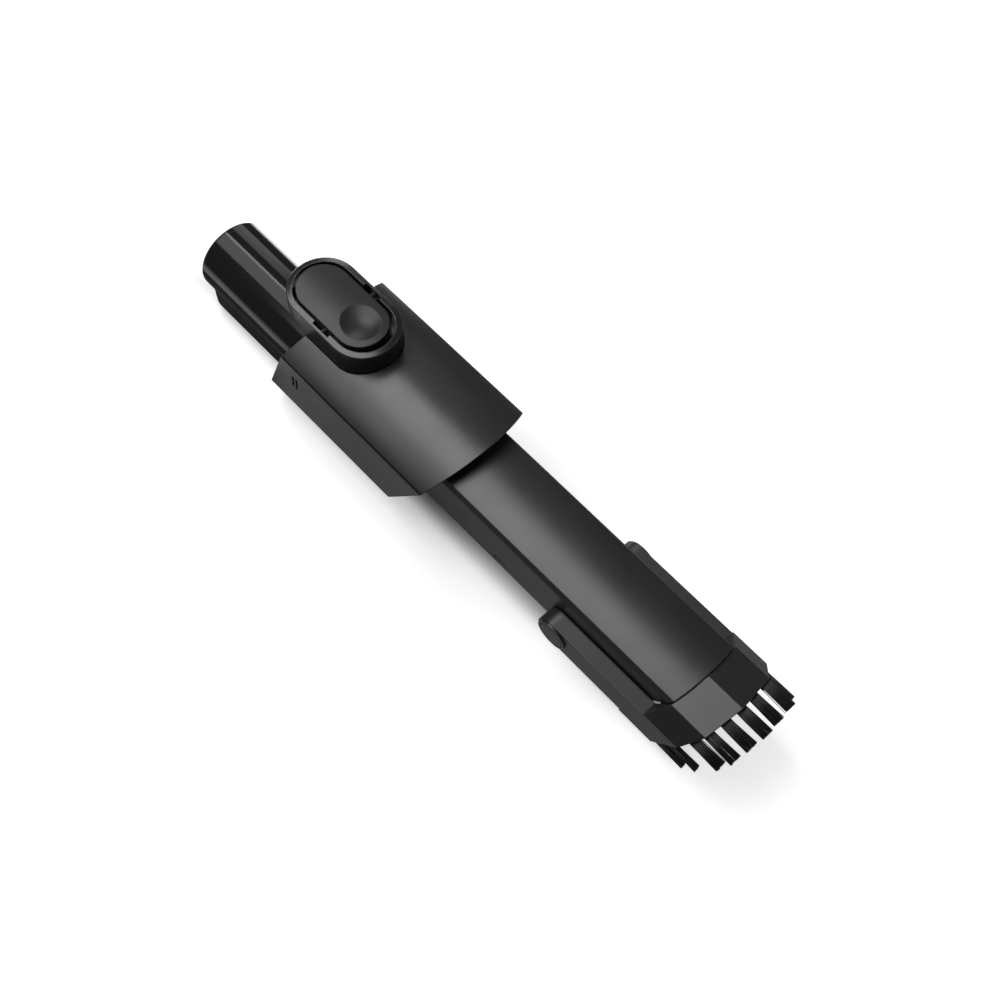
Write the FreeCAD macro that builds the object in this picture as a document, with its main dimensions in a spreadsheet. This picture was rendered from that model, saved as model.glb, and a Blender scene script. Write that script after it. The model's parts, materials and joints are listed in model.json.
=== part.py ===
import FreeCAD, Part
import math
import os
import Sketcher

# Two-in-one crevice tool: a round coupling pipe, a wide body with a raised
# release button, a long flat nozzle and a brush yoke that swings under it.
# Millimetres. +X runs from the coupling to the brush, +Z is up, and the origin
# is the centre of the coupling's rear end.

doc = FreeCAD.newDocument("crevice_tool")

SIZES = {
    "pipe_radius": 17.5,
    "pipe_wall": 3.4,
    "pipe_inside": 20.0,
    "pipe_lip": 1.4,
    "collar_inset": 6.0,
    "collar_length": 3.0,
    "collar_height": 2.4,
    "key_start": 4.3,
    "key_lead": 1.6,
    "key_width": 31.0,
    "key_bottom": 20.3,
    "gasket_length": 2.0,
    "body_width": 56.2,
    "body_rear": 75.9,
    "body_length": 88.1,
    "shoulder_height": 28.9,
    "body_bottom": 22.6,
    "body_round": 20.4,
    "body_wall": 2.3,
    "rear_slope": 0.397,
    "front_slope": 0.672,
    "cover_rise": 10.5,
    "cover_wall": 1.6,
    "seam_gap": 0.6,
    "seam_drop": 1.4,
    "shoulder_round": 2.0,
    "skirt_depth": 3.4,
    "skirt_gap": 0.4,
    "end_wall": 1.6,
    "end_reveal": 1.2,
    "passage_gap": 0.4,
    "tab_length": 9.0,
    "tab_depth": 7.0,
    "tab_wall": 1.6,
    "tab_gap": 0.15,
    "window_length": 1.2,
    "window_height": 9.3,
    "window_pitch": 2.4,
    "window_drop": 16.4,
    "window_inset": 4.8,
    "window_lean": 1.3,
    "nozzle_width": 34.4,
    "nozzle_top_width": 31.8,
    "nozzle_edge_height": 29.9,
    "nozzle_chamfer": 2.5,
    "nozzle_rise": 2.6,
    "nozzle_base_chamfer": 3.0,
    "nozzle_wall": 1.4,
    "nozzle_inset": 44.0,
    "nozzle_reach": 216.4,
    "flange_length": 2.5,
    "flange_height": 2.0,
    "detent_back": 41.9,
    "detent_length": 7.0,
    "detent_height": 2.0,
    "detent_level": 5.6,
    "fit_gap": 0.2,
    "mouth_slope": 0.63,
    "mouth_gap": 0.5,
    "head_length": 17.4,
    "head_width": 49.2,
    "head_top_width": 34.4,
    "head_edge_height": 29.1,
    "head_ridge_rise": 3.3,
    "head_side_height": 19.6,
    "head_bottom": 1.0,
    "head_wall": 3.2,
    "arm_length": 55.4,
    "pivot_z": 10.5,
    "arm_height": 16.0,
    "arm_gap": 0.6,
    "arm_root": 5.0,
    "gusset_length": 3.0,
    "arm_skin": 2.4,
    "arm_rib": 2.2,
    "arm_hollow_start": 13.0,
    "arm_hollow_end": 8.0,
    "boss_radius": 7.3,
    "boss_proud": 0.8,
    "disc_radius": 5.8,
    "disc_length": 1.6,
    "disc_gap": 0.3,
    "pin_radius": 2.4,
    "pin_gap": 0.05,
    "tuft_root_width": 4.2,
    "tuft_tip_width": 5.2,
    "tuft_root_thickness": 1.6,
    "tuft_tip_thickness": 2.2,
    "tuft_reach": 14.0,
    "tuft_depth": 4.0,
    "tuft_gap": 0.1,
    "tuft_pitch": 7.4,
    "chamfer_tuft_place": 0.45,
    "side_tuft_high": 13.0,
    "side_tuft_low": 4.2,
    "tower_overhang": 2.3,
    "tower_length": 25.4,
    "tower_radius": 15.7,
    "tower_top": 49.7,
    "overhang_bottom": 41.0,
    "tower_base": 25.0,
    "tower_step": 0.6,
    "tower_flange_inset": 6.0,
    "tower_flange_gap": 3.0,
    "tower_flange_width": 40.0,
    "tower_flange_clearance": 0.3,
    "tower_flange_thickness": 2.3,
    "rim_wall": 2.8,
    "rim_run": 2.3,
    "rim_fall": 0.6,
    "rim_round": 0.5,
    "well_floor": 43.2,
    "front_well_floor": 40.4,
    "spring_floor": 37.0,
    "cutout_gap": 0.25,
    "button_gap": 1.3,
    "button_setback": 1.5,
    "button_top": 50.0,
    "button_thickness": 5.0,
    "button_crown": 0.7,
    "dimple_radius": 9.0,
    "dimple_depth": 1.7,
    "dimple_setback": 2.0,
    "rocker_place": 15.0,
    "rocker_z": 46.6,
    "rocker_pin_radius": 1.2,
    "notch_length": 9.4,
    "notch_depth": 1.5,
    "hook_back": 10.7,
    "hook_length": 3.5,
    "hook_width": 9.0,
    "hook_bottom": 37.0,
    "hook_gap": 0.8,
    "spring_radius": 3.2,
    "spring_wire": 0.7,
    "spring_turns": 4.0,
}

sheet = doc.addObject("Spreadsheet::Sheet", "Sizes")
for row, (alias, number) in enumerate(SIZES.items(), start=1):
    sheet.set("A%d" % row, alias)
    sheet.set("B%d" % row, str(number))
    sheet.setAlias("B%d" % row, alias)
doc.recompute()


class Dim:
    """A length as a number, with the sheet expression that gives it."""

    def __init__(self, number, text):
        self.number = number
        self.text = text

    def __add__(self, other):
        other = dim(other)
        return Dim(self.number + other.number, "(%s + %s)" % (self.text, other.text))

    def __sub__(self, other):
        other = dim(other)
        return Dim(self.number - other.number, "(%s - %s)" % (self.text, other.text))

    def __mul__(self, other):
        other = dim(other)
        return Dim(self.number * other.number, "(%s * %s)" % (self.text, other.text))

    def __truediv__(self, other):
        other = dim(other)
        return Dim(self.number / other.number, "(%s / %s)" % (self.text, other.text))

    def __neg__(self):
        return Dim(-self.number, "(0 - %s)" % self.text)


def dim(value):
    """Give plain numbers the same shape as sheet sizes."""
    if isinstance(value, Dim):
        return value
    return Dim(float(value), repr(float(value)))


def size(alias):
    """The sheet size with this alias."""
    return Dim(float(sheet.get(alias)), "Sizes.%s" % alias)


def bind(item, path, value):
    """Bind one property of an object to a size."""
    item.setExpression(path, dim(value).text)


def place(item, x=0, y=0, z=0):
    """Bind the three coordinates of an object's base point."""
    bind(item, "Placement.Base.x", x)
    bind(item, "Placement.Base.y", y)
    bind(item, "Placement.Base.z", z)


TURNS = {
    "X": FreeCAD.Rotation(FreeCAD.Vector(0, 1, 0), 90),
    "Y": FreeCAD.Rotation(FreeCAD.Vector(1, 0, 0), -90),
    "Z": FreeCAD.Rotation(),
}

PLANES = {
    "XY": FreeCAD.Rotation(),
    "XZ": FreeCAD.Rotation(FreeCAD.Vector(1, 0, 0), 90),
    "YZ": FreeCAD.Rotation(FreeCAD.Vector(1, 1, 1), 120),
}


def box(name, start, end):
    """A block between two opposite corners."""
    item = doc.addObject("Part::Box", name)
    bind(item, "Length", dim(end[0]) - start[0])
    bind(item, "Width", dim(end[1]) - start[1])
    bind(item, "Height", dim(end[2]) - start[2])
    place(item, *start)
    return item


def cylinder(name, axis, start, radius, length):
    """A round bar along one axis."""
    item = doc.addObject("Part::Cylinder", name)
    item.Placement = FreeCAD.Placement(FreeCAD.Vector(), TURNS[axis])
    bind(item, "Radius", radius)
    bind(item, "Height", length)
    place(item, *start)
    return item


def polygon(name, plane, points, level=0):
    """A closed sketch with every corner bound to sheet sizes."""
    item = doc.addObject("Sketcher::SketchObject", name)
    item.Placement = FreeCAD.Placement(FreeCAD.Vector(), PLANES[plane])
    corners = [(dim(u), dim(v)) for u, v in points]
    spots = [FreeCAD.Vector(u.number, v.number, 0) for u, v in corners]
    count = len(spots)
    for index in range(count):
        item.addGeometry(Part.LineSegment(spots[index], spots[(index + 1) % count]), False)
    for index in range(count):
        item.addConstraint(Sketcher.Constraint("Coincident", index, 2, (index + 1) % count, 1))
    for index, (u, v) in enumerate(corners):
        for kind, value in (("DistanceX", u), ("DistanceY", v)):
            number = item.addConstraint(Sketcher.Constraint(kind, -1, 1, index, 1, value.number))
            item.setExpression("Constraints[%d]" % number, value.text)
    normal_axis = {"XY": "z", "XZ": "y", "YZ": "x"}[plane]
    bind(item, "Placement.Base.%s" % normal_axis, level)
    return item


def prism(name, plane, points, start, length):
    """A polygon in a plane, swept along the axis across that plane."""
    outline = polygon(name + "_outline", plane, points, start)
    item = doc.addObject("Part::Extrusion", name)
    item.Base = outline
    item.DirMode = "Custom"
    item.Dir = {"XY": (0, 0, 1), "XZ": (0, 1, 0), "YZ": (1, 0, 0)}[plane]
    item.Solid = True
    bind(item, "LengthFwd", length)
    return item


def stadium(name, rear, front, radius, bottom, top):
    """An upright bar with two round ends, along X."""
    height = dim(top) - bottom
    ends = [
        cylinder("%s_end_%d" % (name, number), "Z", (x, 0, bottom), radius, height)
        for number, x in enumerate((rear, front), start=1)
    ]
    middle = box(name + "_middle", (rear, -dim(radius), bottom), (front, radius, top))
    return fuse(name, ends + [middle])


def fuse(name, items):
    """One solid from several that overlap."""
    item = doc.addObject("Part::MultiFuse", name)
    item.Shapes = items
    item.Refine = True
    return item


def common(name, items):
    """The space that all of the items share."""
    item = doc.addObject("Part::MultiCommon", name)
    item.Shapes = items
    return item


def cut(name, base, tools):
    """The base without the space of the tools."""
    tool = tools[0] if len(tools) == 1 else fuse(name + "_tools", tools)
    item = doc.addObject("Part::Cut", name)
    item.Base = base
    item.Tool = tool
    item.Refine = True
    return item


def arch(name, half_chord, rise, edge_height, inset, start, length):
    """A long bar whose top is the arch over a chord, less an inset."""
    full_radius = (half_chord * half_chord + rise * rise) / (rise * 2)
    centre_height = dim(edge_height) + rise - full_radius
    return cylinder(name, "X", (start, 0, centre_height), full_radius - inset, length)


nodes = {}


def keep(node, item):
    """Name a finished sub-part after its file."""
    item.Label = node
    nodes[node] = item


# Places shared by several pieces

pipe_radius = size("pipe_radius")
bore_radius = pipe_radius - size("pipe_wall")
body_half = size("body_width") / 2
shoulder = size("shoulder_height")
body_floor = -size("body_bottom")
fit_gap = size("fit_gap")
nozzle_half = size("nozzle_width") / 2
nozzle_top_half = size("nozzle_top_width") / 2
nozzle_edge = size("nozzle_edge_height")
arm_inner = nozzle_half + size("arm_gap")
head_half = size("head_width") / 2
pivot_z = size("pivot_z")
seam_level = shoulder - size("seam_drop")

# Stations along the tool, forward from the body's rear shoulder

body_rear = size("body_rear")
body_front = body_rear + size("body_length")
pipe_end = body_rear + size("pipe_inside")
nozzle_start = body_rear + size("nozzle_inset")
nozzle_end = body_rear + size("nozzle_reach")
head_rear = nozzle_end + size("mouth_gap")
pivot_x = head_rear - size("arm_length")
detent_start = pivot_x - size("detent_back")
tower_rear = body_rear - size("tower_overhang")
tower_front = tower_rear + size("tower_length")
tower_step = body_rear + size("tower_step")
rocker_x = tower_rear + size("rocker_place")
hook_start = tower_rear - size("hook_back")


def body_slab(name, half_width, bottom, top, inset):
    """The body's slanted block, drawn in from its ends by an inset."""
    rear = size("rear_slope")
    front = size("front_slope")

    def rear_at(height):
        return body_rear + inset - rear * (shoulder - height)

    def front_at(height):
        return body_front - inset - front * (shoulder - height)

    points = [
        (rear_at(bottom), bottom),
        (front_at(bottom), bottom),
        (front_at(top), top),
        (rear_at(top), top),
    ]
    return prism(name, "XZ", points, -dim(half_width), dim(half_width) * 2)


def belly(name, half_width, floor, radius, top):
    """A long bar with a round-cornered floor, for the body's lower half."""
    start = body_rear - 40
    length = body_front - body_rear + 60
    middle_level = floor + radius
    corner_y = half_width - radius
    blocks = [
        box(name + "_upper", (start, -half_width, middle_level), (start + length, half_width, top)),
        box(name + "_lower", (start, -corner_y, floor), (start + length, corner_y, top)),
    ]
    for side, y in (("left", -corner_y), ("right", corner_y)):
        blocks.append(cylinder("%s_%s" % (name, side), "X", (start, y, middle_level), radius, length))
    return fuse(name, blocks)


# Coupling pipe with its flat key underneath

pipe_outside = cylinder("pipe_outside", "X", (0, 0, 0), pipe_radius, pipe_end)
pipe_collar = cylinder(
    "pipe_collar", "X", (body_rear + size("collar_inset"), 0, 0),
    pipe_radius + size("collar_height"), size("collar_length"),
)
key_half = size("key_width") / 2
key_lead = size("key_lead")
pipe_key = prism("pipe_key", "XZ", [
    (size("key_start"), dim(0)),
    (size("key_start"), key_lead - size("key_bottom")),
    (size("key_start") + key_lead * 0.7, -size("key_bottom")),
    (body_rear, -size("key_bottom")),
    (body_rear, dim(0)),
], -key_half, key_half * 2)
pipe_blank = fuse("pipe_blank", [pipe_outside, pipe_collar, pipe_key])
pipe_bore = cylinder("pipe_bore", "X", (-1, 0, 0), bore_radius, pipe_end + 2)
pipe_sharp = cut("pipe_sharp", pipe_blank, [pipe_bore])
doc.recompute()

pipe_item = doc.addObject("Part::Fillet", "coupling_pipe")
pipe_item.Base = pipe_sharp
lip_edges = []
for number, edge in enumerate(pipe_sharp.Shape.Edges, start=1):
    bounds = edge.BoundBox
    if bounds.XMax < 0.01 and bounds.YLength > 2 * bore_radius.number + 1:
        lip_edges.append((number, SIZES["pipe_lip"], SIZES["pipe_lip"]))
pipe_item.Edges = lip_edges
keep("coupling_pipe", pipe_item)

gasket_ring = cylinder("gasket_ring", "X", (pipe_end, 0, 0), pipe_radius, size("gasket_length"))
gasket_hole = cylinder(
    "gasket_hole", "X", (pipe_end - 1, 0, 0), bore_radius, size("gasket_length") + 2,
)
keep("pipe_gasket", cut("pipe_gasket", gasket_ring, [gasket_hole]))

# Body shell: slanted ends, round-cornered floor, holes for the pipe and nozzle

wall = size("body_wall")
shell_top = seam_level - size("seam_gap")
shell_outside = common("shell_outside", [
    body_slab("shell_block", body_half, body_floor, shell_top, dim(0)),
    belly("shell_belly", body_half, body_floor, size("body_round"), shell_top),
])
shell_inside = common("shell_inside", [
    body_slab("shell_hollow_block", body_half, body_floor, shell_top + 1, wall),
    belly("shell_hollow_belly", body_half - wall, body_floor + wall, size("body_round") - wall, shell_top + 1),
])
pipe_hole = cylinder(
    "pipe_hole", "X", (body_rear - 45, 0, 0), pipe_radius + fit_gap, dim(75),
)
key_hole = box(
    "key_hole",
    (body_rear - 45, -(key_half + fit_gap), -(size("key_bottom") + fit_gap)),
    (body_rear + fit_gap, key_half + fit_gap, 0),
)
nozzle_hole = box(
    "nozzle_hole",
    (nozzle_start + 6, -(nozzle_half + fit_gap), -fit_gap),
    (body_front + 20, nozzle_half + fit_gap, shell_top + 1),
)
tower_hole = box(
    "tower_hole",
    (body_rear - 30, -(size("tower_radius") + size("cutout_gap")), size("tower_base") - 1),
    (tower_front, size("tower_radius") + size("cutout_gap"), shell_top + 1),
)
windows = []
window_lean = size("window_lean")
for number in range(2):
    x = body_rear + size("window_inset") + size("window_pitch") * number
    low = shoulder - size("window_drop")
    high = low + size("window_height")
    windows.append(prism("window_%d" % (number + 1), "XZ", [
        (x, low),
        (x + size("window_length"), low),
        (x + size("window_length") + window_lean, high),
        (x + window_lean, high),
    ], -body_half - 1, body_half * 2 + 2))
shell_item = cut(
    "body_shell", shell_outside,
    [shell_inside, pipe_hole, key_hole, nozzle_hole, tower_hole] + windows,
)
keep("body_shell", shell_item)

# Arched cover with a cut-out for the button tower, open to the rear

cover_start = body_rear - 40
cover_length = body_front - body_rear + 80
cover_block = body_slab("cover_block", body_half, seam_level, shoulder + size("cover_rise") + 3, dim(0))
cover_outer = arch("cover_outer", body_half, size("cover_rise"), shoulder, dim(0), cover_start, cover_length)
cover_inner = arch(
    "cover_inner", body_half, size("cover_rise"), shoulder, size("cover_wall"),
    cover_start - 1, cover_length + 2,
)
cutout_radius = size("tower_radius") + size("cutout_gap")
cover_cutout = stadium(
    "cover_cutout", body_rear - 25, tower_front, cutout_radius,
    seam_level - 2, shoulder + size("cover_rise") + 5,
)
cover_plate = cut("cover_plate", common("cover_arch", [cover_block, cover_outer]), [cover_inner, cover_cutout])
cover_core = arch(
    "cover_core", body_half, size("cover_rise"), shoulder, size("cover_wall") / 2, cover_start, cover_length,
)
cover_top = shoulder + size("cover_rise")


def end_wall(name, front, inset):
    """A slanted wall that closes one end of the cover, set back from its edge."""
    slope = size("front_slope") if front else -size("rear_slope")
    edge = body_front if front else body_rear
    way = -1 if front else 1

    def at(height, depth):
        lean = slope * (height - shoulder) if front else -slope * (height - shoulder)
        return edge + lean + dim(depth) * way

    depth = dim(inset) + size("end_wall")
    points = [
        (at(seam_level, inset), seam_level),
        (at(seam_level, depth), seam_level),
        (at(cover_top, depth), cover_top),
        (at(cover_top, inset), cover_top),
    ]
    return common(name, [prism(name + "_slab", "XZ", points, -body_half, body_half * 2), cover_core])


passage = common("nozzle_passage", [
    box(
        "passage_block",
        (nozzle_start, -(nozzle_half + size("passage_gap")), seam_level - 2),
        (body_front + 30, nozzle_half + size("passage_gap"), cover_top),
    ),
    arch(
        "passage_arch", nozzle_top_half, size("nozzle_rise"), nozzle_edge, -size("passage_gap"),
        nozzle_start - 1, size("body_length") + 30,
    ),
])
front_wall = cut("front_wall", end_wall("front_wall_blank", True, size("end_reveal")), [passage])
rear_wall = cut("rear_wall", end_wall("rear_wall_blank", False, dim(0)), [cover_cutout])
skirt_slab = body_slab(
    "skirt_slab", body_half, seam_level - size("skirt_depth") - 1, cover_top + 1, wall + size("skirt_gap"),
)
tabs = []
tab_outer = body_half - wall - size("tab_gap")
for side, sign in (("left", -1), ("right", 1)):
    for number, x in enumerate((body_rear + 16, body_front - 34), start=1):
        low = tab_outer * sign
        high = (tab_outer - size("tab_wall")) * sign
        near, far = (low, high) if sign < 0 else (high, low)
        tab_blank = box(
            "tab_blank_%s_%d" % (side, number),
            (x, near, seam_level - size("tab_depth")),
            (x + size("tab_length"), far, cover_top),
        )
        tabs.append(common("tab_%s_%d" % (side, number), [tab_blank, cover_core]))
    skirt_blank = box(
        "skirt_blank_" + side,
        (body_rear - 40, near, seam_level - size("skirt_depth")),
        (body_front + 40, far, cover_top),
    )
    tabs.append(common("skirt_" + side, [skirt_blank, cover_core, skirt_slab]))
cover_sharp = fuse("cover_sharp", [cover_plate, front_wall, rear_wall] + tabs)
doc.recompute()
cover_item = doc.addObject("Part::Fillet", "body_cover")
cover_item.Base = cover_sharp
shoulder_edges = []
for number, edge in enumerate(cover_sharp.Shape.Edges, start=1):
    bounds = edge.BoundBox
    level = abs(bounds.ZMin - shoulder.number) < 0.01 and abs(bounds.ZMax - shoulder.number) < 0.01
    outside = min(abs(bounds.YMin), abs(bounds.YMax)) > body_half.number - 0.01
    if level and outside:
        shoulder_edges.append((number, SIZES["shoulder_round"], SIZES["shoulder_round"]))
cover_item.Edges = shoulder_edges
keep("body_cover", cover_item)

# Nozzle: arched top, chamfered edges, hollow, slanted mouth

nozzle_length = nozzle_end + 30 - nozzle_start
shelf = nozzle_edge - size("nozzle_chamfer")
base_half = nozzle_half - size("nozzle_base_chamfer")
tall = nozzle_edge + size("nozzle_rise") + 4
nozzle_block = prism("nozzle_block", "YZ", [
    (-nozzle_half, size("nozzle_base_chamfer")),
    (-base_half, 0),
    (base_half, 0),
    (nozzle_half, size("nozzle_base_chamfer")),
    (nozzle_half, shelf),
    (nozzle_top_half, nozzle_edge),
    (nozzle_top_half, tall),
    (-nozzle_top_half, tall),
    (-nozzle_top_half, nozzle_edge),
    (-nozzle_half, shelf),
], nozzle_start, nozzle_length)
nozzle_arch = arch(
    "nozzle_arch", nozzle_top_half, size("nozzle_rise"), nozzle_edge, dim(0),
    nozzle_start - 1, nozzle_length + 2,
)
nozzle_skin = common("nozzle_skin", [nozzle_block, nozzle_arch])
nozzle_flange = box(
    "nozzle_flange",
    (nozzle_start, -(nozzle_half + size("flange_height")), -size("flange_height")),
    (nozzle_start + size("flange_length"), nozzle_half + size("flange_height"), seam_level - 3),
)
nozzle_solid = fuse("nozzle_solid", [nozzle_skin, nozzle_flange])
channel_half = nozzle_half - size("nozzle_wall")
nozzle_channel = box(
    "nozzle_channel",
    (nozzle_start - 1, -channel_half, size("nozzle_wall")),
    (nozzle_end + 40, channel_half, nozzle_edge - size("nozzle_wall")),
)


def mouth_wedge(name, face, reach, low, high):
    """The space in front of a slanted face, given where it meets the top edge."""
    slope = size("mouth_slope")

    def face_at(height):
        return dim(face) - slope * (size("head_edge_height") - height)

    points = [
        (face_at(low), low),
        (face_at(low) + reach, low),
        (face_at(high) + reach, high),
        (face_at(high), high),
    ]
    return prism(name, "XZ", points, -(head_half + 10), head_half * 2 + 20)


mouth_cut = mouth_wedge("mouth_cut", nozzle_end, dim(120), dim(-30), dim(60))
pin_bores = cylinder(
    "pin_bores", "Y", (pivot_x, -(nozzle_half + 1), pivot_z), size("pin_radius"), nozzle_half * 2 + 2,
)
detents = [
    box(
        "detent_" + side,
        (detent_start, y, size("detent_level")),
        (detent_start + size("detent_length"), y + 4, size("detent_level") + size("detent_height")),
    )
    for side, y in (("left", -nozzle_half - 1), ("right", nozzle_half - 3))
]
keep("nozzle_tube", cut("nozzle_tube", nozzle_solid, [nozzle_channel, mouth_cut, pin_bores] + detents))

# Brush yoke: two arms on the pivot pins and a slanted hood in front of the mouth

ridge = size("head_edge_height") + size("head_ridge_rise")
head_top_half = size("head_top_width") / 2
head_wall = size("head_wall")
hood_start = head_rear - 40
hood_outline = prism("hood_outline", "YZ", [
    (-head_half, size("head_bottom")),
    (head_half, size("head_bottom")),
    (head_half, size("head_side_height")),
    (head_top_half, size("head_edge_height")),
    (0, ridge),
    (-head_top_half, size("head_edge_height")),
    (-head_half, size("head_side_height")),
], hood_start, dim(80))
hood = prism("hood", "YZ", [
    (-head_half, size("head_bottom")),
    (-(head_half - head_wall), size("head_bottom")),
    (-(head_half - head_wall), size("head_side_height") - head_wall * 0.4),
    (-(head_top_half - head_wall * 0.45), size("head_edge_height") - head_wall),
    (0, ridge - head_wall),
    (head_top_half - head_wall * 0.45, size("head_edge_height") - head_wall),
    (head_half - head_wall, size("head_side_height") - head_wall * 0.4),
    (head_half - head_wall, size("head_bottom")),
    (head_half, size("head_bottom")),
    (head_half, size("head_side_height")),
    (head_top_half, size("head_edge_height")),
    (0, ridge),
    (-head_top_half, size("head_edge_height")),
    (-head_half, size("head_side_height")),
], hood_start, dim(80))
hood_slab = mouth_wedge("hood_slab", head_rear, size("head_length"), dim(-10), dim(50))
hood_piece = common("hood_piece", [hood, hood_slab])

arm_half = size("arm_height") / 2
arm_reach = head_rear - size("mouth_slope") * (size("head_edge_height") - pivot_z) + size("arm_root")
arm_limit = mouth_wedge("arm_limit", head_rear + size("arm_root"), dim(-90), dim(-10), dim(50))
gusset_slab = mouth_wedge("gusset_slab", head_rear, size("gusset_length"), dim(-10), dim(50))
arm_parts = []
yoke_cuts = []
for side, sign in (("left", -1), ("right", 1)):
    near, far = (-head_half, -arm_inner) if sign < 0 else (arm_inner, head_half)
    bar = box(
        "arm_bar_" + side,
        (pivot_x, near, pivot_z - arm_half),
        (arm_reach + 20, far, pivot_z + arm_half),
    )
    end = cylinder("arm_end_" + side, "Y", (pivot_x, near, pivot_z), arm_half, far - near)
    arm_parts.append(common("arm_" + side, [fuse("arm_blank_" + side, [bar, end]), arm_limit]))
    gusset_box = box(
        "gusset_box_" + side,
        (hood_start, near, pivot_z),
        (head_rear + size("head_length"), far, size("head_edge_height") + 1),
    )
    lip_near, lip_far = (near, -channel_half) if sign < 0 else (channel_half, far)
    lip_box = box(
        "gusset_lip_box_" + side,
        (hood_start, lip_near, pivot_z * 2 + size("arm_gap")),
        (head_rear + size("head_length"), lip_far, size("head_edge_height") + 1),
    )
    arm_parts.append(common("gusset_lip_" + side, [lip_box, gusset_slab, hood_outline]))
    arm_parts.append(common("gusset_" + side, [gusset_box, gusset_slab, hood_outline]))
    boss_base = near - size("boss_proud") if sign < 0 else far - 1
    arm_parts.append(cylinder(
        "boss_" + side, "Y", (pivot_x, boss_base, pivot_z), size("boss_radius"), size("boss_proud") + 1,
    ))
    hollow_near, hollow_far = arm_inner - 1, head_half - size("arm_skin")
    if sign < 0:
        hollow_near, hollow_far = -hollow_far, -hollow_near
    hollow_half = arm_half - size("arm_rib")
    yoke_cuts.append(box(
        "arm_hollow_" + side,
        (pivot_x + size("arm_hollow_start"), hollow_near, pivot_z - hollow_half),
        (arm_reach - size("arm_hollow_end"), hollow_far, pivot_z + hollow_half),
    ))
    disc_depth = size("disc_length") + size("disc_gap")
    recess_base = near - size("boss_proud") - 1 if sign < 0 else far + size("boss_proud") - disc_depth
    yoke_cuts.append(cylinder(
        "disc_recess_" + side, "Y", (pivot_x, recess_base, pivot_z),
        size("disc_radius") + size("disc_gap"), disc_depth + 1,
    ))
    yoke_cuts.append(cylinder(
        "arm_bore_" + side, "Y", (pivot_x, near - 5, pivot_z),
        size("pin_radius") + size("pin_gap"), far - near + 10,
    ))

# Pivot pins: pressed into the nozzle, their flat heads show in the arms

for side, sign in (("left", -1), ("right", 1)):
    outer_face = head_half + size("boss_proud")
    head_base = -outer_face if sign < 0 else outer_face - size("disc_length")
    shank_end = nozzle_half - size("nozzle_wall")
    shank_length = outer_face - shank_end
    shank_base = -outer_face if sign < 0 else shank_end
    pin_head = cylinder(
        "pin_head_" + side, "Y", (pivot_x, head_base, pivot_z), size("disc_radius"), size("disc_length"),
    )
    pin_shank = cylinder(
        "pin_shank_" + side, "Y", (pivot_x, shank_base, pivot_z), size("pin_radius"), shank_length,
    )
    keep("yoke_pin_" + side, fuse("yoke_pin_" + side, [pin_head, pin_shank]))

# Bristle tufts: flat wedges set in slots along the hood's front face

half_wall = head_wall / 2
roof_fall = size("head_ridge_rise") / head_top_half
chamfer_run = head_half - head_top_half
chamfer_fall = size("head_edge_height") - size("head_side_height")
chamfer_angle = math.degrees(math.atan2(chamfer_fall.number, chamfer_run.number))
roof_angle = math.degrees(math.atan2(SIZES["head_ridge_rise"], head_top_half.number))
tuft_seats = [(dim(0), ridge - half_wall - 0.2, 0.0)]
for sign in (-1, 1):
    for number in (1, 2):
        out = size("tuft_pitch") * number
        tuft_seats.append((out * sign, ridge - roof_fall * out - half_wall, -sign * roof_angle))
    along = size("chamfer_tuft_place")
    tuft_seats.append((
        (head_top_half + chamfer_run * along - half_wall * 0.8) * sign,
        size("head_edge_height") - chamfer_fall * along - half_wall * 0.6,
        -sign * chamfer_angle,
    ))
    for height in (size("side_tuft_high"), size("side_tuft_low")):
        tuft_seats.append(((head_half - half_wall) * sign, height, -sign * 90.0))
tuft_seats.sort(key=lambda seat: (seat[0].number, seat[1].number * (1 if seat[0].number < 0 else -1)))


def tuft_wedge(name, seat, root_width, tip_width, root_thickness, tip_thickness, depth, reach):
    """A flat wedge along X, turned to lie along the wall it stands in."""
    y, z, angle = seat
    item = doc.addObject("Part::Wedge", name)
    for low, high, width in (
        ("Xmin", "Xmax", root_width), ("X2min", "X2max", tip_width),
        ("Zmin", "Zmax", root_thickness), ("Z2min", "Z2max", tip_thickness),
    ):
        bind(item, low, -width / 2)
        bind(item, high, width / 2)
    bind(item, "Ymin", -depth)
    bind(item, "Ymax", reach)
    forward = FreeCAD.Rotation(FreeCAD.Vector(0, 0, 1), -90)
    turn = FreeCAD.Rotation(FreeCAD.Vector(1, 0, 0), angle)
    item.Placement = FreeCAD.Placement(FreeCAD.Vector(), turn.multiply(forward))
    front = head_rear + size("head_length")
    place(item, front - size("mouth_slope") * (size("head_edge_height") - z), y, z)
    return item


for number, seat in enumerate(tuft_seats, start=1):
    tuft = tuft_wedge(
        "bristle_tuft_%02d" % number, seat, size("tuft_root_width"), size("tuft_tip_width"),
        size("tuft_root_thickness"), size("tuft_tip_thickness"), size("tuft_depth"), size("tuft_reach"),
    )
    keep("bristle_tuft_%02d" % number, tuft)
    slot_width = size("tuft_tip_width") + size("tuft_gap") * 2
    slot_width = (size("tuft_root_width") + slot_width) / 2
    slot_thickness = (size("tuft_root_thickness") + size("tuft_tip_thickness")) / 2 + size("tuft_gap")
    yoke_cuts.append(tuft_wedge(
        "tuft_slot_%02d" % number, seat, slot_width, slot_width,
        slot_thickness, slot_thickness, size("tuft_depth") + size("tuft_gap"), dim(20),
    ))

keep("brush_yoke", cut("brush_yoke", fuse("yoke_blank", [hood_piece] + arm_parts), yoke_cuts))

# Button tower: a round-ended housing that overhangs the pipe at the rear

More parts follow.
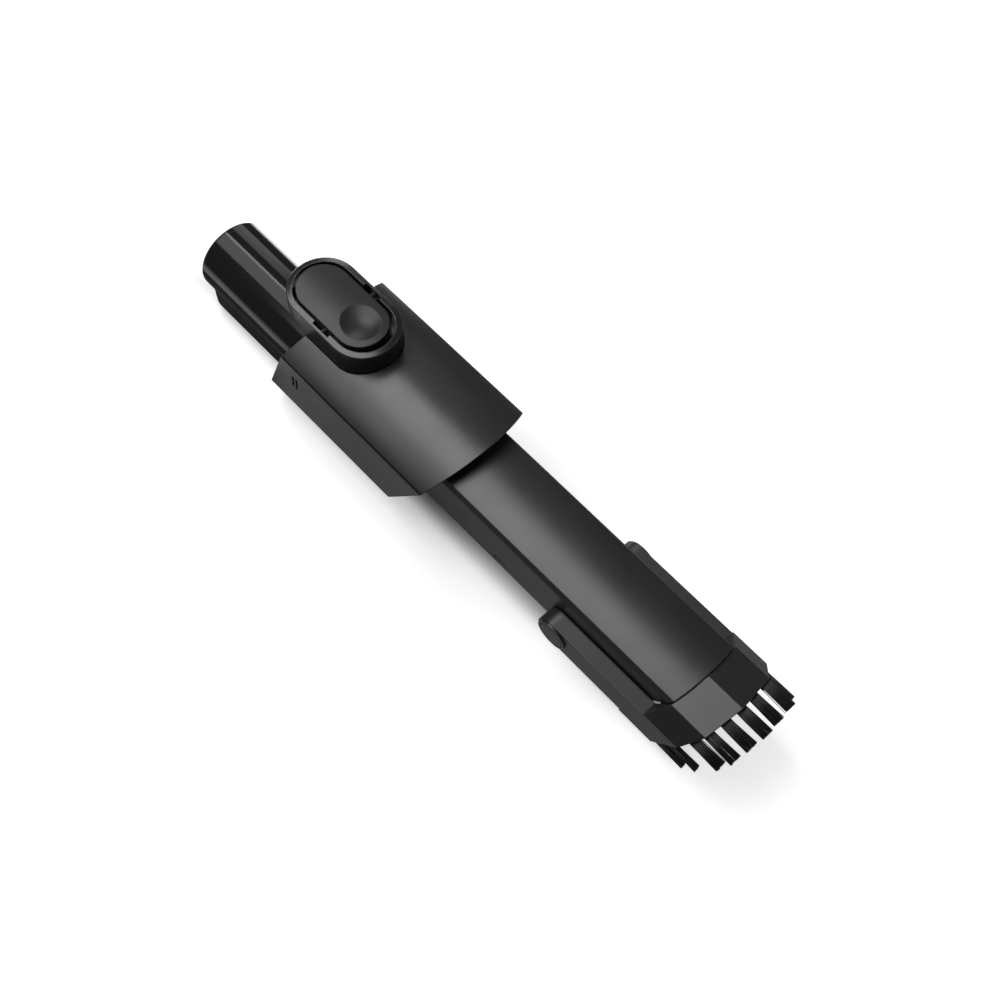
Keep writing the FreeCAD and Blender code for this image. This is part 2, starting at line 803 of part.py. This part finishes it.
tower_radius = size("tower_radius")
tower_block = stadium(
    "tower_block", tower_rear, tower_front, tower_radius, size("overhang_bottom"), size("tower_top"),
)
rim_top = tower_radius - size("rim_run")
rim_depth = size("tower_top") - size("overhang_bottom") + 1
rim_low = rim_top + rim_depth * size("rim_run") / size("rim_fall")
rim_base = size("tower_top") - rim_depth
rim_slopes = [prism("rim_slope_middle", "YZ", [
    (-rim_low, rim_base),
    (rim_low, rim_base),
    (rim_top, size("tower_top")),
    (-rim_top, size("tower_top")),
], tower_rear, size("tower_length"))]
for number, x in enumerate((tower_rear, tower_front), start=1):
    slope = doc.addObject("Part::Cone", "rim_slope_%d" % number)
    bind(slope, "Radius1", rim_low)
    bind(slope, "Radius2", rim_top)
    bind(slope, "Height", rim_depth)
    place(slope, x, 0, rim_base)
    rim_slopes.append(slope)
tower_upper = common("tower_upper", [tower_block, fuse("rim_slope", rim_slopes)])
tower_foot = fuse("tower_foot", [
    cylinder(
        "foot_front", "Z", (tower_front, 0, size("tower_base")), tower_radius,
        size("overhang_bottom") + 1 - size("tower_base"),
    ),
    box(
        "foot_rear", (tower_step, -tower_radius, size("tower_base")),
        (tower_front, tower_radius, size("overhang_bottom") + 1),
    ),
])
well_radius = tower_radius - size("rim_wall")
button_well = stadium(
    "button_well", tower_rear, tower_front, well_radius, size("well_floor"), size("tower_top") + 2,
)
front_well = cylinder(
    "front_well", "Z", (tower_front, 0, size("front_well_floor")),
    well_radius, size("tower_top") + 2 - size("front_well_floor"),
)
flange_share = size("tower_flange_width") / (body_half * 2)
flange_top = shoulder + size("cover_rise") * (dim(1) - flange_share * flange_share)
flange_top = flange_top - size("cover_wall") * 1.25 - size("tower_flange_clearance")
tower_flange = box(
    "tower_flange",
    (body_rear + size("tower_flange_inset"), -size("tower_flange_width") / 2,
     flange_top - size("tower_flange_thickness")),
    (nozzle_start - size("tower_flange_gap"), size("tower_flange_width") / 2, flange_top),
)
spring_well = cylinder(
    "spring_well", "Z", (tower_front, 0, size("spring_floor")),
    size("spring_radius") + size("spring_wire") * 2 + 1, size("front_well_floor") - size("spring_floor") + 1,
)
foot_hollow = box(
    "foot_hollow",
    (tower_step + size("rim_wall"), -(well_radius - 2), size("tower_base") - 1),
    (tower_front + 4, well_radius - 2, size("spring_floor") - 2),
)
rocker_z = size("rocker_z")
notch_half = size("notch_length") / 2
notches = [
    box(
        "notch_" + side,
        (rocker_x - notch_half, y, size("well_floor")),
        (rocker_x + notch_half, y + size("notch_depth") + 1, size("tower_top") + 1),
    )
    for side, y in (("left", -well_radius - size("notch_depth")), ("right", well_radius - 1))
]
hook_slot = box(
    "hook_slot",
    (hook_start - size("hook_gap") * 2, -(size("hook_width") / 2 + size("hook_gap")),
     size("overhang_bottom") - 1),
    (hook_start + size("hook_length") + size("hook_gap") * 2,
     size("hook_width") / 2 + size("hook_gap"), size("well_floor") + 1),
)
rocker_seat = cylinder(
    "rocker_seat", "Y", (rocker_x, -(tower_radius - 0.6), rocker_z),
    size("rocker_pin_radius"), tower_radius * 2 - 1.2,
)
tower_sharp = cut(
    "tower_sharp", fuse("tower_blank", [tower_upper, tower_foot, tower_flange]),
    [button_well, front_well, spring_well, foot_hollow, hook_slot, rocker_seat] + notches,
)
doc.recompute()
tower_item = doc.addObject("Part::Fillet", "button_housing")
tower_item.Base = tower_sharp
rim_edges = []
for number, edge in enumerate(tower_sharp.Shape.Edges, start=1):
    bounds = edge.BoundBox
    rim_level = SIZES["tower_top"] - SIZES["rim_fall"]
    on_top = abs(bounds.ZMin - rim_level) < 0.01 and abs(bounds.ZMax - rim_level) < 0.01
    widest = max(abs(bounds.YMin), abs(bounds.YMax))
    if on_top and widest > SIZES["tower_radius"] - 0.01:
        rim_edges.append((number, SIZES["rim_round"], SIZES["rim_round"]))
tower_item.Edges = rim_edges
keep("button_housing", tower_item)

# Release button: a rocker with a finger dimple in front and a latch hook behind

button_radius = well_radius - size("button_gap")
button_bottom = size("button_top") - size("button_thickness")
button_blank = stadium(
    "button_blank", tower_rear, tower_front - size("button_setback"), button_radius,
    button_bottom, size("button_top"),
)
hook = box(
    "hook",
    (hook_start, -size("hook_width") / 2, size("hook_bottom")),
    (hook_start + size("hook_length"), size("hook_width") / 2, button_bottom + 1),
)
dimple_ball = doc.addObject("Part::Sphere", "dimple_ball")
dimple = size("dimple_radius")
dimple_drop = size("dimple_depth")
ball_radius = (dimple * dimple + dimple_drop * dimple_drop) / (dimple_drop * 2)
bind(dimple_ball, "Radius", ball_radius)
place(dimple_ball, tower_front - size("dimple_setback"), 0, size("button_top") + ball_radius - dimple_drop)
rocker_bore = cylinder(
    "rocker_bore", "Y", (rocker_x, -tower_radius, rocker_z),
    size("rocker_pin_radius") + size("pin_gap"), tower_radius * 2,
)
button_crown = arch(
    "button_crown", button_radius, size("button_crown"), size("button_top") - size("button_crown"), dim(0),
    tower_rear - 40, size("tower_length") + 80,
)
button_solid = common("button_crowned", [fuse("button_solid", [button_blank, hook]), button_crown])
button_item = cut("release_button", button_solid, [dimple_ball, rocker_bore])
keep("release_button", button_item)

keep("rocker_pin", cylinder(
    "rocker_pin", "Y", (rocker_x, -(tower_radius - 0.6), rocker_z),
    size("rocker_pin_radius"), tower_radius * 2 - 1.2,
))

spring_path = doc.addObject("Part::Helix", "spring_path")
spring_height = button_bottom - size("spring_floor") - size("spring_wire") * 2
bind(spring_path, "Radius", size("spring_radius"))
bind(spring_path, "Height", spring_height)
bind(spring_path, "Pitch", spring_height / size("spring_turns"))
place(spring_path, tower_front, 0, size("spring_floor") + size("spring_wire"))
spring_wire = doc.addObject("Part::Circle", "spring_wire")
spring_wire.Placement = FreeCAD.Placement(FreeCAD.Vector(), PLANES["XZ"])
bind(spring_wire, "Radius", size("spring_wire"))
place(spring_wire, tower_front + size("spring_radius"), 0, size("spring_floor") + size("spring_wire"))
spring_item = doc.addObject("Part::Sweep", "button_spring")
spring_item.Sections = [spring_wire]
spring_item.Spine = (spring_path, [])
spring_item.Solid = True
spring_item.Frenet = True
keep("button_spring", spring_item)

doc.recompute()

# Check every object, then write one file for each sub-part

for item in doc.Objects:
    if "Invalid" in item.State or "Error" in item.State:
        raise RuntimeError("%s did not build: %s" % (item.Name, item.State))
for node, item in nodes.items():
    shape = item.Shape
    if shape.isNull() or not shape.isValid():
        raise RuntimeError("%s has no valid shape" % node)
    print("%-18s solids %d  volume %8.1f  x %.1f to %.1f  z %.1f to %.1f" % (
        node, len(shape.Solids), shape.Volume, shape.BoundBox.XMin, shape.BoundBox.XMax,
        shape.BoundBox.ZMin, shape.BoundBox.ZMax,
    ))

os.makedirs("parts", exist_ok=True)
for node, item in nodes.items():
    item.Shape.exportStep("parts/%s.step" % node)
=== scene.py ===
import json
import math
import random

import bpy
from mathutils import Matrix, Vector


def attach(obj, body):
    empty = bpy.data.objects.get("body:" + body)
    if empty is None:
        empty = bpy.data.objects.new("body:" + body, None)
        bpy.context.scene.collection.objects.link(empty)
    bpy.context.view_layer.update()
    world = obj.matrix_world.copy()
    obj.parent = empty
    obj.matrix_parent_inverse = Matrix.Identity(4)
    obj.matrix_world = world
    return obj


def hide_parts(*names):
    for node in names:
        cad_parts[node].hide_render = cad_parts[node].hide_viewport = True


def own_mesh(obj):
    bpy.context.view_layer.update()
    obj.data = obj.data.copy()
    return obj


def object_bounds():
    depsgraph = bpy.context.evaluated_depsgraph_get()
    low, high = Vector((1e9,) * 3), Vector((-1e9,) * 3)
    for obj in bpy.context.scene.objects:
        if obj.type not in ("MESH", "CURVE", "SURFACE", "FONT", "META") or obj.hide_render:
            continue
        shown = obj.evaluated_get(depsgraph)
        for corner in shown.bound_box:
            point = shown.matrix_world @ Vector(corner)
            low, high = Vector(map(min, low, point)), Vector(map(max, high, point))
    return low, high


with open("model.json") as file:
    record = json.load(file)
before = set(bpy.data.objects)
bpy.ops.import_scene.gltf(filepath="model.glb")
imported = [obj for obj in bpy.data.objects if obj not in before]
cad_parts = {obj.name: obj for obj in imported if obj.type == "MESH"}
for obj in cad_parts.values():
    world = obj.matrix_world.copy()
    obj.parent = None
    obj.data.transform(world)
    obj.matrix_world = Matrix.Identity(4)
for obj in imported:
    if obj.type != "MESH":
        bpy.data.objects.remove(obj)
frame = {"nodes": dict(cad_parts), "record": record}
cad_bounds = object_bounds()

MM = 0.001
random.seed(7)


# Node helpers

def new_material(name):
    """A node material with its nodes, links and principled shader."""
    material = bpy.data.materials.new(name)
    material.use_nodes = True
    nodes = material.node_tree.nodes
    return material, nodes, material.node_tree.links, nodes["Principled BSDF"]


def noise(nodes, links, vector, scale, detail=3.0, roughness=0.55):
    """A noise texture on the given coordinates."""
    texture = nodes.new("ShaderNodeTexNoise")
    texture.inputs["Scale"].default_value = scale
    texture.inputs["Detail"].default_value = detail
    texture.inputs["Roughness"].default_value = roughness
    links.new(vector, texture.inputs["Vector"])
    return texture.outputs["Fac"]


def map_range(nodes, links, value, span, low, high, interpolation="LINEAR"):
    """Map a value from a span to a new range, held at its ends."""
    mapped = nodes.new("ShaderNodeMapRange")
    mapped.interpolation_type = interpolation
    mapped.inputs["From Min"].default_value = span[0]
    mapped.inputs["From Max"].default_value = span[1]
    mapped.inputs["To Min"].default_value = low
    mapped.inputs["To Max"].default_value = high
    links.new(value, mapped.inputs["Value"])
    return mapped.outputs["Result"]


NOISE_MIDDLE = (0.3, 0.7)


def spread(nodes, links, value, low, high):
    """Map the middle of a noise's range to a new range."""
    return map_range(nodes, links, value, NOISE_MIDDLE, low, high)


def combine(nodes, links, operation, *values):
    """The sum, product or largest of several values."""
    result = values[0]
    for value in values[1:]:
        item = nodes.new("ShaderNodeMath")
        item.operation = operation
        links.new(result, item.inputs[0])
        links.new(value, item.inputs[1])
        result = item.outputs["Value"]
    return result


def split_axes(nodes, links, vector):
    """The X, Y and Z of a vector."""
    axes = nodes.new("ShaderNodeSeparateXYZ")
    links.new(vector, axes.inputs["Vector"])
    return axes.outputs


# Finishes

BEVEL_SAMPLES = 6
EDGE_TURN = (0.995, 0.80)
CLOUD_SCALE = 55.0
CLOUD_DETAIL = 4.0
COOLER = 1.03
WORN = 1.9
WORN_COOLER = 1.95
LEAST_WEAR = 0.1
GLOSS_SPREAD = 0.07
GRAIN_STRENGTH = 0.35
# Painted shade: the colour of the seam band on the cover, darker than the plastic
PAINTED_SEAM_SHADE = 0.003
LAND_ROUGHNESS = 0.1
STEEL_COLOUR = (0.5, 0.5, 0.51, 1)
STEEL_ROUGHNESS = (0.25, 0.4)
STEEL_LINES = 900.0
STEEL_LINE_DEPTH = 0.02 * MM


def edge_mask(nodes, links, radius):
    """Where the surface turns a corner: the rounded normal leaves the true one."""
    bevel = nodes.new("ShaderNodeBevel")
    bevel.samples = BEVEL_SAMPLES
    bevel.inputs["Radius"].default_value = radius
    geometry = nodes.new("ShaderNodeNewGeometry")
    compare = nodes.new("ShaderNodeVectorMath")
    compare.operation = "DOT_PRODUCT"
    links.new(bevel.outputs["Normal"], compare.inputs[0])
    links.new(geometry.outputs["Normal"], compare.inputs[1])
    turn = map_range(nodes, links, compare.outputs["Value"], EDGE_TURN, 0.0, 1.0)
    return bevel.outputs["Normal"], turn


def glossy_land_with_painted_shade(nodes, links, place, heights, colour, sheen):
    """The mould's texture stops short of a parting edge and leaves a smooth glossy land there;
    its colour is darkened there as painted shade along the seam.
    """
    height = split_axes(nodes, links, place)["Z"]
    above = map_range(nodes, links, height, heights, 0.0, 1.0, "SMOOTHSTEP")
    tint = nodes.new("ShaderNodeMix")
    tint.data_type = "RGBA"
    tint.inputs["A"].default_value = (PAINTED_SEAM_SHADE, PAINTED_SEAM_SHADE, PAINTED_SEAM_SHADE, 1)
    links.new(colour, tint.inputs["B"])
    links.new(above, tint.inputs["Factor"])
    polish = nodes.new("ShaderNodeMix")
    polish.inputs["A"].default_value = LAND_ROUGHNESS
    links.new(sheen, polish.inputs["B"])
    links.new(above, polish.inputs["Factor"])
    return tint.outputs["Result"], polish.outputs["Result"]


def plastic(
    name, colour, roughness, grain, grain_depth, edge_radius, wear=0.5, shine=0.5, land_and_shade=None,
):
    """Moulded black plastic: fine grain, uneven gloss, handled edges."""
    material, nodes, links, shader = new_material(name)
    place = nodes.new("ShaderNodeTexCoord").outputs["Object"]
    rounded, edges = edge_mask(nodes, links, edge_radius)
    cloud = noise(nodes, links, place, CLOUD_SCALE, CLOUD_DETAIL)
    fine = noise(nodes, links, place, grain, detail=2.0, roughness=0.6)

    worn = combine(nodes, links, "MULTIPLY", edges, spread(nodes, links, cloud, LEAST_WEAR, wear))
    tone = nodes.new("ShaderNodeMix")
    tone.data_type = "RGBA"
    tone.inputs["A"].default_value = (colour, colour, colour * COOLER, 1)
    tone.inputs["B"].default_value = (colour * WORN, colour * WORN, colour * WORN_COOLER, 1)
    links.new(worn, tone.inputs["Factor"])
    tint = tone.outputs["Result"]
    sheen = spread(
        nodes, links, cloud, roughness * (1 - GLOSS_SPREAD), roughness * (1 + GLOSS_SPREAD),
    )
    # Painted shade along a seam band, with a smooth glossy land there
    if land_and_shade:
        tint, sheen = glossy_land_with_painted_shade(nodes, links, place, land_and_shade, tint, sheen)
    links.new(tint, shader.inputs["Base Color"])
    links.new(sheen, shader.inputs["Roughness"])

    bump = nodes.new("ShaderNodeBump")
    bump.inputs["Strength"].default_value = GRAIN_STRENGTH
    bump.inputs["Distance"].default_value = grain_depth
    links.new(fine, bump.inputs["Height"])
    links.new(rounded, bump.inputs["Normal"])
    links.new(bump.outputs["Normal"], shader.inputs["Normal"])
    shader.inputs["Specular IOR Level"].default_value = shine
    return material


def steel(name):
    """Drawn steel wire with fine lines."""
    material, nodes, links, shader = new_material(name)
    place = nodes.new("ShaderNodeTexCoord").outputs["Object"]
    lines = noise(nodes, links, place, STEEL_LINES, detail=2.0)
    shader.inputs["Base Color"].default_value = STEEL_COLOUR
    shader.inputs["Metallic"].default_value = 1.0
    links.new(spread(nodes, links, lines, *STEEL_ROUGHNESS), shader.inputs["Roughness"])
    bump = nodes.new("ShaderNodeBump")
    bump.inputs["Distance"].default_value = STEEL_LINE_DEPTH
    links.new(lines, bump.inputs["Height"])
    links.new(bump.outputs["Normal"], shader.inputs["Normal"])
    return material


SATIN = {
    "colour": 0.013, "roughness": 0.36,
    "grain": 2600.0, "grain_depth": 0.012 * MM, "edge_radius": 0.55 * MM,
}
# Heights of the cover's seam band: smooth glossy land with painted shade
COVER_LAND_AND_SHADE = (28.9 * MM, 29.7 * MM)

FINISHES = {
    "pipe_gloss": plastic(
        "pipe_gloss", colour=0.009, roughness=0.12,
        grain=1400.0, grain_depth=0.004 * MM, edge_radius=0.5 * MM, wear=0.3, shine=0.14,
    ),
    "seal_rubber": plastic(
        "seal_rubber", colour=0.016, roughness=0.62,
        grain=1800.0, grain_depth=0.03 * MM, edge_radius=0.3 * MM,
    ),
    "body_satin": plastic("body_satin", **SATIN),
    "yoke_satin": plastic(
        "yoke_satin", colour=0.013, roughness=0.34,
        grain=2600.0, grain_depth=0.010 * MM, edge_radius=0.4 * MM,
    ),
    "rim_gloss": plastic(
        "rim_gloss", colour=0.012, roughness=0.22,
        grain=1800.0, grain_depth=0.006 * MM, edge_radius=0.4 * MM, shine=0.42,
    ),
    "button_satin": plastic(
        "button_satin", colour=0.016, roughness=0.33,
        grain=2600.0, grain_depth=0.010 * MM, edge_radius=0.7 * MM, shine=0.21,
    ),
    "pin_steel": steel("pin_steel"),
    "bristle": plastic(
        "bristle", colour=0.006, roughness=0.45,
        grain=3000.0, grain_depth=0.01 * MM, edge_radius=0.05 * MM,
    ),
}
# The cover's finish carries painted shade along its seam band
COVER_FINISH = plastic("cover_satin", **SATIN, land_and_shade=COVER_LAND_AND_SHADE)

slot_of = {entry["node"]: entry["material_slot"] for entry in frame["record"]["subparts"]}
for name, item in frame["nodes"].items():
    finish = COVER_FINISH if name == "body_cover" else FINISHES[slot_of[name]]
    item.data.materials.clear()
    item.data.materials.append(finish)


# Bristles: each tuft is a bundle of fine filaments that flare to a square-cut end

FILAMENTS_ACROSS = 11
FILAMENTS_DEEP = 5
FILAMENT_SIDES = 5
FILAMENT_RADIUS = (0.15, 0.19)
TIP_TAPER = 0.92
TIP_UNEVEN = 0.18
BOW = 0.12
SPREAD_ACROSS = 0.03
SPREAD_DEEP_ROOT = 0.06
SPREAD_DEEP_TIP = 0.08
SAME_POINT = 1e-5


def vary(amount):
    """A random number up to this amount either way."""
    return random.uniform(-amount, amount)


def tuft_frame(item):
    """Root and tip centres of a flat wedge, with its width and thickness directions."""
    corners = [vertex.co.copy() for vertex in item.data.vertices]
    low = min(corner.x for corner in corners)
    high = max(corner.x for corner in corners)
    ends = []
    for level in (low, high):
        ring = []
        for corner in corners:
            new = all((corner - other).length > SAME_POINT for other in ring)
            if new and abs(corner.x - level) < SAME_POINT:
                ring.append(corner)
        middle = sum(ring, Vector()) / len(ring)
        sides = sorted((other - ring[0] for other in ring[1:]), key=lambda side: side.length)
        ends.append((middle, sides[1], sides[0]))
    return ends


def add_rod(rings, points, faces):
    """Add one closed rod through rings that are given by centre and radius."""
    first = len(points)
    for centre, radius in rings:
        for step in range(FILAMENT_SIDES):
            angle = 2 * math.pi * step / FILAMENT_SIDES
            points.append(centre + Vector((0, math.cos(angle), math.sin(angle))) * radius)
    for ring in range(len(rings) - 1):
        start = first + ring * FILAMENT_SIDES
        for step in range(FILAMENT_SIDES):
            a = start + step
            b = start + (step + 1) % FILAMENT_SIDES
            faces.append((a, b, b + FILAMENT_SIDES, a + FILAMENT_SIDES))
    last = first + (len(rings) - 1) * FILAMENT_SIDES
    faces.append(tuple(last + step for step in range(FILAMENT_SIDES)))
    faces.append(tuple(first + step for step in reversed(range(FILAMENT_SIDES))))


def add_filaments(item, points, faces):
    """Add the filaments of one tuft as thin tapered rods."""
    (root, root_wide, root_thick), (tip, tip_wide, tip_thick) = tuft_frame(item)
    for column in range(FILAMENTS_ACROSS):
        for layer in range(FILAMENTS_DEEP):
            u = (column + 0.5) / FILAMENTS_ACROSS - 0.5 + vary(SPREAD_ACROSS)
            v = (layer + 0.5) / FILAMENTS_DEEP - 0.5 + vary(SPREAD_DEEP_ROOT)
            base = root + root_wide * u + root_thick * v
            across = tip_wide * (u + vary(SPREAD_ACROSS))
            deep = tip_thick * (v + vary(SPREAD_DEEP_TIP))
            end = tip + across + deep
            end.x -= abs(random.gauss(0, TIP_UNEVEN)) * MM
            bow = Vector((0, vary(BOW), vary(BOW))) * MM
            radius = random.uniform(*FILAMENT_RADIUS) * MM
            middle = (base + end) / 2 + bow
            add_rod(((base, radius), (middle, radius), (end, radius * TIP_TAPER)), points, faces)


tuft_names = sorted(name for name in frame["nodes"] if name.startswith("bristle_tuft"))
points, faces = [], []
for name in tuft_names:
    add_filaments(frame["nodes"][name], points, faces)
mesh = bpy.data.meshes.new("bristles")
mesh.from_pydata(points, [], faces)
mesh.update()
mesh.materials.append(FINISHES["bristle"])
for face in mesh.polygons:
    face.use_smooth = True
bristles = bpy.data.objects.new("bristles", mesh)
bpy.context.collection.objects.link(bristles)
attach(bristles, "brush")
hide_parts(*tuft_names)


# Return spring: a copy of the coil with a mesh of its own, fixed to the tool

coil = frame["nodes"]["button_spring"]
spring = bpy.data.objects.new("return_spring", coil.data.copy())
bpy.context.view_layer.update()
spring.matrix_world = coil.matrix_world.copy()
bpy.context.collection.objects.link(spring)
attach(spring, "tool")
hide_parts("button_spring")
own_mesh(spring)


# Camera: looks down on the tool from its front right

AZIMUTH = math.radians(47.315)
ELEVATION = math.radians(63.02)
FOCAL_PIXELS = 1485.17
PICTURE_PIXELS = 1000.0
SENSOR = 36.0
ACROSS = -70.875
ALONG = 63.309
DISTANCE = 653.587
SHOULDER = 75.9

right = Vector((math.cos(AZIMUTH), math.sin(AZIMUTH), 0))
towards = Vector((math.sin(AZIMUTH), -math.cos(AZIMUTH), 0))
back = towards * math.cos(ELEVATION) + Vector((0, 0, math.sin(ELEVATION)))
upward = Vector((0, 0, math.cos(ELEVATION))) - towards * math.sin(ELEVATION)
spot = back * DISTANCE - right * ACROSS - upward * ALONG + Vector((SHOULDER, 0, 0))
lens = bpy.data.cameras.new("camera")
lens.sensor_width = SENSOR
lens.lens = SENSOR * FOCAL_PIXELS / PICTURE_PIXELS
lens.clip_start = 0.01
camera = bpy.data.objects.new("camera", lens)
turn = Matrix((right, upward, back)).transposed().to_4x4()
camera.matrix_world = Matrix.Translation(spot * MM) @ turn
bpy.context.collection.objects.link(camera)
bpy.context.scene.camera = camera


# White sheet under the tool: its tone, its painted reflections, painted shade and painted light,
# and the spans in metres over which these change

FLOOR = cad_bounds[0][2]
SHEET = ((-1.2, -1.2), (1.5, 1.2))
SHEET_DROP = 0.1 * MM
SHEET_GRAIN = 900.0
SHEET_ROUGHNESS = (0.75, 0.9)
SHEET_TONE = 0.66
# Painted reflections: the tone the sheet shows only to glossy rays, darker far to the left,
# brighter in a band beside the pipe
SHEET_GLINT = 0.29
FAR_GLINT = 0.09
PIPE_GLINT = 0.9
PIPE_GLINT_UNDER = 0.06
PIPE_GLINT_FAR = 0.05
SHEET_LIFT = 0.46
# Painted light: extra camera glow in front of the tool that pales its shadow there
FRONT_PAINTED_LIGHT = 0.22
# Painted reflections: glow seen only by glossy rays, a patch right of the pipe and a streak left
# of it, for the pipe's highlights
PATCH = 6.0
STREAK = 1.3

# BEHIND_X, MOUTH_X and UNDER_SQUARED bound the painted shade under the tool; FRONT_X bounds the
# painted light in front
BEHIND_X = (-0.03, 0.0)
PIPE_X = (0.025, 0.045)
BODY_X = (0.045, 0.065)
FRONT_X = (0.20, 0.31)
MOUTH_X = (0.266, 0.310)
LEFT_FAR_Y = (-0.15, -0.09)
LEFT_PIPE_Y = (-0.12, -0.09)
LEFT_STREAK_Y = (-0.09, -0.075)
LEFT_NEAR_Y = (-0.050, -0.042)
RIGHT_NEAR_Y = (0.015, 0.03)
RIGHT_FAR_Y = (0.13, 0.16)
UNDER_SQUARED = (0.008 ** 2, 0.020 ** 2)


def sheet_material():
    """White paper, plain white to the camera outside the tool's shadow; painted shade under the
    tool, painted light in front, painted reflections to glossy rays.
    """
    material, nodes, links, shader = new_material("sheet")
    place = nodes.new("ShaderNodeTexCoord").outputs["Object"]
    path = nodes.new("ShaderNodeLightPath").outputs
    axes = split_axes(nodes, links, place)

    def step(value, span, low, high):
        return map_range(nodes, links, value, span, low, high, "SMOOTHSTEP")

    def product(*values):
        return combine(nodes, links, "MULTIPLY", *values)

    grain = noise(nodes, links, place, SHEET_GRAIN, detail=2.0)
    links.new(spread(nodes, links, grain, *SHEET_ROUGHNESS), shader.inputs["Roughness"])

    # Painted reflections: glossy rays see a darker sheet, brighter in a band beside the pipe
    painted_reflection_tone = nodes.new("ShaderNodeMix")
    pipe_painted_reflection = product(
        step(axes["Y"], LEFT_NEAR_Y, PIPE_GLINT, PIPE_GLINT_UNDER),
        step(axes["Y"], LEFT_PIPE_Y, PIPE_GLINT_FAR, 1.0),
    )
    links.new(pipe_painted_reflection, painted_reflection_tone.inputs["A"])
    links.new(step(axes["Y"], LEFT_FAR_Y, FAR_GLINT, SHEET_GLINT), painted_reflection_tone.inputs["B"])
    links.new(step(axes["X"], BODY_X, 0.0, 1.0), painted_reflection_tone.inputs["Factor"])
    tone = nodes.new("ShaderNodeMix")
    tone.inputs["A"].default_value = SHEET_TONE
    links.new(painted_reflection_tone.outputs["Result"], tone.inputs["B"])
    links.new(path["Is Glossy Ray"], tone.inputs["Factor"])
    links.new(tone.outputs["Result"], shader.inputs["Base Color"])

    # Painted shade: the camera glow is taken away under the tool, from behind the pipe to the
    # mouth, so the floor reads darker there
    clear = combine(
        nodes, links, "MAXIMUM",
        step(axes["X"], MOUTH_X, 0.0, 1.0),
        step(axes["X"], BEHIND_X, 1.0, 0.0),
        step(product(axes["Y"], axes["Y"]), UNDER_SQUARED, 0.0, 1.0),
    )
    # Painted light: the camera glow rises towards the front
    level = step(axes["X"], FRONT_X, SHEET_LIFT, SHEET_LIFT + FRONT_PAINTED_LIGHT)
    lift = product(path["Is Camera Ray"], level, clear)
    # Painted reflections: patches of the sheet glow only to glossy rays, painting highlights
    # along the pipe's edges
    painted_reflection_patch = product(
        step(axes["X"], PIPE_X, PATCH, 0.0),
        step(axes["Y"], RIGHT_NEAR_Y, 0.0, 1.0),
        step(axes["Y"], RIGHT_FAR_Y, 1.0, 0.0),
    )
    painted_reflection_streak = product(
        step(axes["X"], PIPE_X, STREAK, 0.0),
        step(axes["Y"], LEFT_NEAR_Y, 1.0, 0.0),
        step(axes["Y"], LEFT_STREAK_Y, 0.0, 1.0),
    )
    painted_reflections = product(path["Is Glossy Ray"], combine(nodes, links, "ADD", painted_reflection_patch, painted_reflection_streak))
    glow = combine(nodes, links, "ADD", lift, painted_reflections)
    shader.inputs["Emission Color"].default_value = (1, 1, 1, 1)
    links.new(glow, shader.inputs["Emission Strength"])
    return material


(left_end, near_end), (right_end, far_end) = SHEET
sheet_corners = (
    (left_end, near_end), (right_end, near_end), (right_end, far_end), (left_end, far_end),
)
sheet_mesh = bpy.data.meshes.new("sheet")
sheet_mesh.from_pydata([(x, y, FLOOR - SHEET_DROP) for x, y in sheet_corners], [], [(0, 1, 2, 3)])
sheet_mesh.materials.append(sheet_material())
sheet = bpy.data.objects.new("sheet", sheet_mesh)
bpy.context.collection.objects.link(sheet)


# Soft light above, dark room around

LAMP_DISTANCE = 1.4
LAMP_TARGET = Vector((0.13, 0, 0))
ROOM = 0.09


def softbox(name, direction, width, height, radiance):
    """A rectangular light of even brightness, aimed at the tool."""
    light = bpy.data.lights.new(name, "AREA")
    light.shape = "RECTANGLE"
    light.size = width
    light.size_y = height
    light.energy = radiance * width * height * math.pi
    lamp = bpy.data.objects.new(name, light)
    aim = Vector(direction).normalized()
    side = Vector((1, 0, 0))
    side = (side - aim * side.dot(aim)).normalized()
    facing = Matrix((side, aim.cross(side), aim)).transposed().to_4x4()
    lamp.matrix_world = Matrix.Translation(LAMP_TARGET + aim * LAMP_DISTANCE) @ facing
    bpy.context.collection.objects.link(lamp)


softbox("overhead", (-0.36, -0.13, 0.92), width=1.2, height=0.86, radiance=5.6)
softbox("left", (-0.43, -0.59, 0.69), width=0.33, height=0.42, radiance=4.5)
softbox("side", (-0.66, 0.60, 0.46), width=0.36, height=0.66, radiance=3.4)
softbox("far", (0.62, 0.68, 0.39), width=0.5, height=0.45, radiance=3.0)
softbox("strip", (-0.50, 0.165, 0.85), width=0.55, height=0.07, radiance=18.0)

world = bpy.data.worlds.new("world")
world.use_nodes = True
bpy.context.scene.world = world
nodes, links = world.node_tree.nodes, world.node_tree.links
sky = nodes["Background"]
sky.inputs["Color"].default_value = (1, 1, 1, 1)
seen = nodes.new("ShaderNodeLightPath").outputs["Is Camera Ray"]
links.new(map_range(nodes, links, seen, (0.0, 1.0), ROOM, 1.0), sky.inputs["Strength"])

bpy.context.scene.view_settings.view_transform = "Standard"
